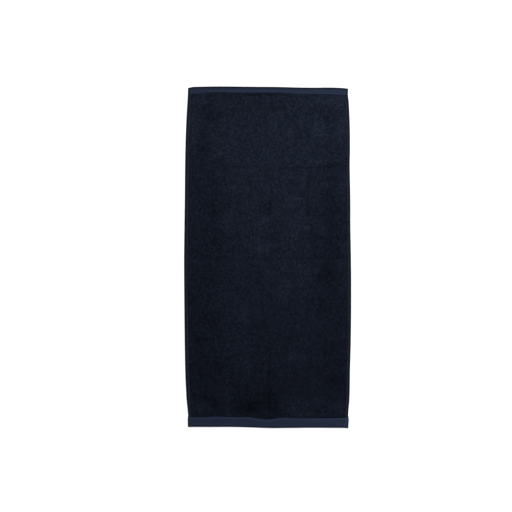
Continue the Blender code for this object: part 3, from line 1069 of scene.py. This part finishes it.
# A stitch is a short rounded bar: a point at each end and two rings of four between them. Its heights are
# shares of its own: the middle of its rings, and from there up to their tops and down to their feet.
STITCH_RINGS = (-0.3, 0.3)
STITCH_MIDDLE = 0.25
STITCH_TOP = 0.75
STITCH_FOOT = 0.5
STITCH_POINTS = 10
STITCH_FACES = (
    [(0, 2 + (k + 1) % 4, 2 + k) for k in range(4)]
    + [(2 + k, 2 + (k + 1) % 4, 6 + (k + 1) % 4) for k in range(4)]
    + [(2 + k, 6 + (k + 1) % 4, 6 + k) for k in range(4)]
    + [(1, 6 + k, 6 + (k + 1) % 4) for k in range(4)]
)
STITCH_MAP = [(0.04, 0.5), (0.96, 0.5)] + [(u, v) for u in (0.3, 0.7) for v in (0.1, 0.37, 0.63, 0.9)]


def stitch_row(hem, side):
    """Where a hem's stitches start and where they finish. side is 1 on its front and -1 on its back."""
    length = hem_length(hem)
    count = int((length - UNSTITCHED) / STITCH_PITCH)
    shares = 0.5 + (np.arange(count) - (count - 1) / 2.0) * STITCH_PITCH / length
    ends = []
    for way in (-0.5, 0.5):
        share = shares + way * STITCH_LENGTH / length
        depth = hem_depth(hem.edge, (share - 0.5) * outline.width)
        x, y, front, low, _ = hem_surface(hem, share, 1.0 - hem.stitch_in / depth)
        z = front - STITCH_SINK if side > 0 else low + STITCH_SINK
        ends.append(np.stack([x, y, z], axis=1))
    return ends


def stitch_bodies(start, finish, side):
    """The points of each stitch, from where it starts to where it finishes."""
    along = finish - start
    middle = (start + finish) / 2.0
    uneven = np.random.default_rng(STITCH_SEED).normal(0.0, STITCH_JITTER, len(along))
    along *= 1.0 + uneven[:, None]
    across = np.cross(np.array([0.0, 0.0, 1.0]), along)
    across /= np.linalg.norm(across, axis=1)[:, None]
    across *= STITCH_WIDTH / 2.0
    up = np.array([0.0, 0.0, STITCH_HEIGHT])[None, :] * side[:, None]
    points = [middle + along * way - up * STITCH_MIDDLE for way in (-0.5, 0.5)]
    for way in STITCH_RINGS:
        centre = middle + along * way + up * STITCH_MIDDLE
        points += [centre + across, centre + up * STITCH_TOP, centre - across, centre - up * STITCH_FOOT]
    bodies = np.stack(points, axis=1)
    bodies[..., 2] = np.maximum(bodies[..., 2], ON_THE_SURFACE)
    return bodies


def stitching(material):
    """All the rows of stitches, as one piece."""
    pairs = [(hem, side) for hem in HEMS for side in (1.0, -1.0)]
    rows = [stitch_row(hem, side) for hem, side in pairs]
    side = np.repeat([side for _, side in pairs], [len(starts) for starts, _ in rows])
    start, finish = np.concatenate(rows, axis=1)
    bodies = stitch_bodies(start, finish, side)
    count = len(bodies)
    faces = np.array(STITCH_FACES)
    corners = np.where(side[:, None, None] > 0, faces, faces[:, ::-1])
    every = corners + np.arange(count)[:, None, None] * STITCH_POINTS
    maps = cell_maps(count, np.array(STITCH_MAP)[corners].reshape(count, -1, 2))
    return make_mesh("stitching", bodies.reshape(-1, 3), every.reshape(-1, 3), material, maps)


# ---- The studio ----

FLOOR_SIZE = 30.0
FLOOR_COLOUR = (0.25, 0.25, 0.25, 1.0)
FLOOR_GLOW = 0.78
# The light from all round changes from the walls' to the ceiling's as it comes from higher up.
WALL_LIGHT = 0.84
WALL_TOP = 0.12
CEILING_LIGHT = 0.25
CEILING_FROM = 0.22
Lamp = namedtuple("Lamp", "name place size power")
LAMPS = (
    Lamp("key", (1.6, 4.7, 3.6), 1.8, 700.0),
    Lamp("fill", (-1.8, -1.4, 2.6), 2.4, 14.0),
)


def room_light():
    """Soft white light from all round: a ceiling, and lighter walls that the far floor runs into."""
    world = bpy.data.worlds.new("soft_white")
    world.use_nodes = True
    tree = world.node_tree
    upwards = add(tree, "SeparateXYZ", {0: add(tree, "TexCoord").outputs["Generated"]}).outputs[2]
    light = ramp(tree, upwards, (WALL_TOP, (WALL_LIGHT,) * 3), (CEILING_FROM, (CEILING_LIGHT,) * 3))
    tree.links.new(light, tree.nodes["Background"].inputs["Color"])
    return world


def studio():
    """A plain pale floor, soft white light, two lamps and a camera straight above."""
    bpy.ops.mesh.primitive_plane_add(size=FLOOR_SIZE, location=(0.0, 0.0, 0.0))
    floor = bpy.context.object
    floor.name = "floor"
    floor.data.materials.append(floor_material())
    floor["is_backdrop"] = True
    bpy.context.scene.world = room_light()
    for lamp in LAMPS:
        light = bpy.data.lights.new(lamp.name, "AREA")
        light.shape = "DISK"
        light.size = lamp.size
        light.energy = lamp.power
        holder = bpy.data.objects.new(lamp.name, light)
        holder.location = lamp.place
        # A lamp shines backwards along its Z, so this aims it at the towel's middle.
        holder.rotation_euler = holder.location.to_track_quat("Z", "Y").to_euler()
        bpy.context.scene.collection.objects.link(holder)
    lens = bpy.data.cameras.new("camera")
    lens.lens, lens.sensor_width = LENS, SENSOR
    camera = bpy.data.objects.new("camera", lens)
    face = CAD_BOX[1].z
    camera.location = (*VIEW_MIDDLE, face + VIEW_WIDTH * LENS / SENSOR)
    bpy.context.scene.collection.objects.link(camera)
    bpy.context.scene.camera = camera
    bpy.context.scene.view_settings.view_transform = "Standard"


# ---- The towel ----


def towel():
    """Builds every piece, ties it to the towel's body and hides the solid that it stands for."""
    loops = pile_material()
    end_weave, side_weave = weave_material(END_WEAVE), weave_material(SIDE_WEAVE)
    ground = part_of_towel(ground_cloth(weave_material(GROUND_WEAVE)))
    piles = pile_pieces(FACE_PILE, loops, 1.0) + pile_pieces(BACK_PILE, loops, -1.0)
    others = [part_of_towel(piece) for piece in piles]
    for hem in HEMS:
        cloth = side_weave if hem.edge in SIDE_HEMS else end_weave
        others.append(part_of_towel(hem_band(hem, cloth)))
    others.append(part_of_towel(stitching(thread_material())))


studio()
towel()

boxes = {"cad": CAD_BOX, "visual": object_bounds()}
{name: [list(corner) for corner in box] for name, box in boxes.items()}
